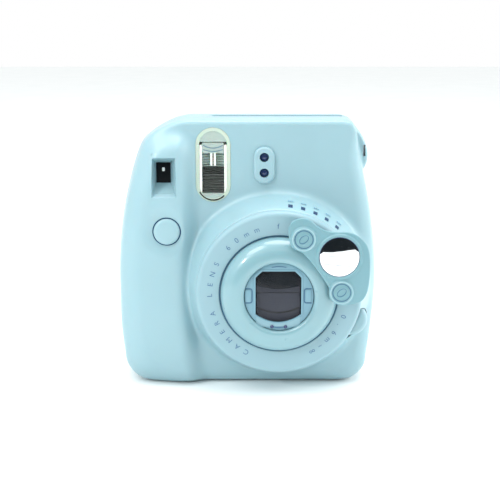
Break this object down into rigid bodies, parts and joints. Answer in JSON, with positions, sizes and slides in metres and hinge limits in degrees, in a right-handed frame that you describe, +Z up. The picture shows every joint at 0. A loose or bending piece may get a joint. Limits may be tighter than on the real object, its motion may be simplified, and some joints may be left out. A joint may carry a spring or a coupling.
{
  "type": "instant camera",
  "caption": "Compact instant film camera with a hand grip, flash, collapsing lens barrel and a clip-on selfie mirror, built as separate working pieces.",
  "frame": {"origin": "middle of the base: centre of the bounding box in X and Y, lowest point in Z", "axes": "+Z up, -Y out of the lens towards the subject, +X to the right seen from the front"},
  "size_m": [0.1163, 0.0712, 0.1183],
  "materials": {
    "body_blue": "satin moulded",
    "trim_blue": "satin moulded",
    "black_plastic": "fine matt",
    "smoke_window": "polished smoked",
    "clear_window": "polished clear moulded",
    "steel": "rolled",
    "brass": "bright",
    "mirror": "silvered convex",
    "white_plastic": "natural acetal",
    "board_green": "solder resist",
    "lamp_blue": "tinted light pipe"
  },
  "bodies": {
    "camera_body": {"front_cover": "body_blue", "rear_cover": "body_blue", "film_door_hinge_pin": "steel", "battery_holder": "black_plastic", "battery_contact_lower": "brass", "battery_contact_upper": "brass", "film_chamber_frame": "black_plastic", "gear_bracket": "steel", "motor": "steel", "film_exit_trim": "trim_blue", "flash_window": "clear_window", "flash_reflector": "mirror", "flash_tube": "clear_window", "flash_capacitor": "black_plastic", "main_board": "board_green", "viewfinder_front_window": "smoke_window", "viewfinder_tunnel": "black_plastic", "viewfinder_eyepiece": "black_plastic", "viewfinder_rear_lens": "clear_window", "sensor_boss": "body_blue", "light_sensor_upper": "lamp_blue", "light_sensor_lower": "lamp_blue", "shutter_button_spring": "steel", "shutter_switch": "black_plastic", "exposure_lamp_1": "lamp_blue", "exposure_lamp_2": "lamp_blue", "exposure_lamp_3": "lamp_blue", "exposure_lamp_4": "lamp_blue", "exposure_lamp_5": "lamp_blue", "lens_guide_tube": "black_plastic", "bottom_screw_1": "steel", "bottom_screw_2": "steel"},
    "film_door": {"film_door": "body_blue", "film_door_window": "clear_window", "film_pressure_plate": "steel"},
    "door_latch": {"film_door_latch": "trim_blue"},
    "battery_door": {"battery_door": "body_blue"},
    "front_roller": {"roller_front": "steel", "roller_gear_front": "white_plastic"},
    "rear_roller": {"roller_rear": "steel", "roller_gear_rear": "white_plastic"},
    "drive_gear": {"drive_gear": "white_plastic"},
    "motor_pinion": {"motor_pinion": "brass"},
    "exit_flap": {"film_exit_flap": "black_plastic"},
    "shutter_button": {"shutter_button": "body_blue"},
    "lens_button": {"lens_button": "body_blue"},
    "exposure_dial": {"exposure_dial": "trim_blue"},
    "lens": {"lens_barrel": "body_blue", "lens_hood": "body_blue", "lens_face_plate": "trim_blue", "lens_window": "smoke_window", "lens_cell": "black_plastic", "lens_element": "clear_window", "shutter_plate": "black_plastic"},
    "shutter_blade": {"shutter_blade": "black_plastic"},
    "lens_cover_upper": {"lens_cover_upper": "black_plastic"},
    "lens_cover_lower": {"lens_cover_lower": "black_plastic"},
    "mirror_clip": {"mirror_arm": "body_blue", "selfie_mirror": "mirror"},
    "counter_dial": {"film_counter_dial": "white_plastic"}
  },
  "joints": [
    {"name": "lens_extend", "type": "slide", "parent": "camera_body", "child": "lens", "axis": [0, -1, 0], "range_m": [0, 0.018]},
    {"name": "mirror_clip_pull_off", "type": "slide", "parent": "lens", "child": "mirror_clip", "axis": [0, -1, 0], "range_m": [0, 0.012]},
    {"name": "lens_cover_upper_slide", "type": "slide", "parent": "lens", "child": "lens_cover_upper", "axis": [0, 0, 1], "range_m": [0, 0.0031]},
    {"name": "lens_cover_lower_slide", "type": "slide", "parent": "lens", "child": "lens_cover_lower", "axis": [0, 0, -1], "range_m": [0, 0.0081]},
    {"name": "shutter_blade_swing", "type": "hinge", "parent": "lens", "child": "shutter_blade", "pos_m": [0.0242, -0.017, 0.0503], "axis": [0, 1, 0], "range_deg": [0, 40], "stiffness_Nm_per_rad": 0.001},
    {"name": "exposure_dial_turn", "type": "hinge", "parent": "camera_body", "child": "exposure_dial", "pos_m": [0.0132, -0.02, 0.0463], "axis": [0, -1, 0], "range_deg": [0, 34.4]},
    {"name": "shutter_press", "type": "slide", "parent": "camera_body", "child": "shutter_button", "axis": [0, 1, 0], "range_m": [0, 0.0011], "stiffness_N_per_m": 600, "deforming": ["shutter_button_spring"]},
    {"name": "lens_button_press", "type": "slide", "parent": "camera_body", "child": "lens_button", "axis": [0, 1, 0], "range_m": [0, 0.0015], "stiffness_N_per_m": 500},
    {"name": "film_door_hinge", "type": "hinge", "parent": "camera_body", "child": "film_door", "pos_m": [-0.0243, 0.0324, 0.056], "axis": [0, 0, 1], "range_deg": [0, 90]},
    {"name": "door_latch_slide", "type": "slide", "parent": "film_door", "child": "door_latch", "axis": [0, 0, -1], "range_m": [0, 0.0035], "stiffness_N_per_m": 300},
    {"name": "battery_door_hinge", "type": "hinge", "parent": "camera_body", "child": "battery_door", "pos_m": [-0.0586, 0.027, 0.041], "axis": [0, 0, -1], "range_deg": [0, 100]},
    {"name": "exit_flap_hinge", "type": "hinge", "parent": "camera_body", "child": "exit_flap", "pos_m": [0.013, 0.0135, 0.1172], "axis": [-1, 0, 0], "range_deg": [0, 80], "stiffness_Nm_per_rad": 0.001},
    {"name": "front_roller_spin", "type": "hinge", "parent": "camera_body", "child": "front_roller", "pos_m": [0.013, 0.0095, 0.105], "axis": [1, 0, 0], "continuous": true},
    {"name": "rear_roller_spin", "type": "hinge", "parent": "camera_body", "child": "rear_roller", "pos_m": [0.013, 0.0155, 0.105], "axis": [1, 0, 0], "continuous": true},
    {"name": "drive_gear_spin", "type": "hinge", "parent": "camera_body", "child": "drive_gear", "pos_m": [-0.0231, 0.0019, 0.09733], "axis": [1, 0, 0], "continuous": true},
    {"name": "motor_pinion_spin", "type": "hinge", "parent": "camera_body", "child": "motor_pinion", "pos_m": [-0.0231, 0.0019, 0.08653], "axis": [1, 0, 0], "continuous": true},
    {"name": "counter_dial_turn", "type": "hinge", "parent": "camera_body", "child": "counter_dial", "pos_m": [-0.0382, 0.0319, 0.0796], "axis": [0, 1, 0], "range_deg": [0, 300]}
  ],
  "couplings": [
    {"joint": "lens_cover_upper_slide", "follows": "lens_extend", "ratio": 0.1666},
    {"joint": "lens_cover_lower_slide", "follows": "lens_extend", "ratio": 0.4444},
    {"joint": "rear_roller_spin", "follows": "front_roller_spin", "ratio": -1},
    {"joint": "drive_gear_spin", "follows": "front_roller_spin", "ratio": -0.38462},
    {"joint": "motor_pinion_spin", "follows": "front_roller_spin", "ratio": 1}
  ]
}
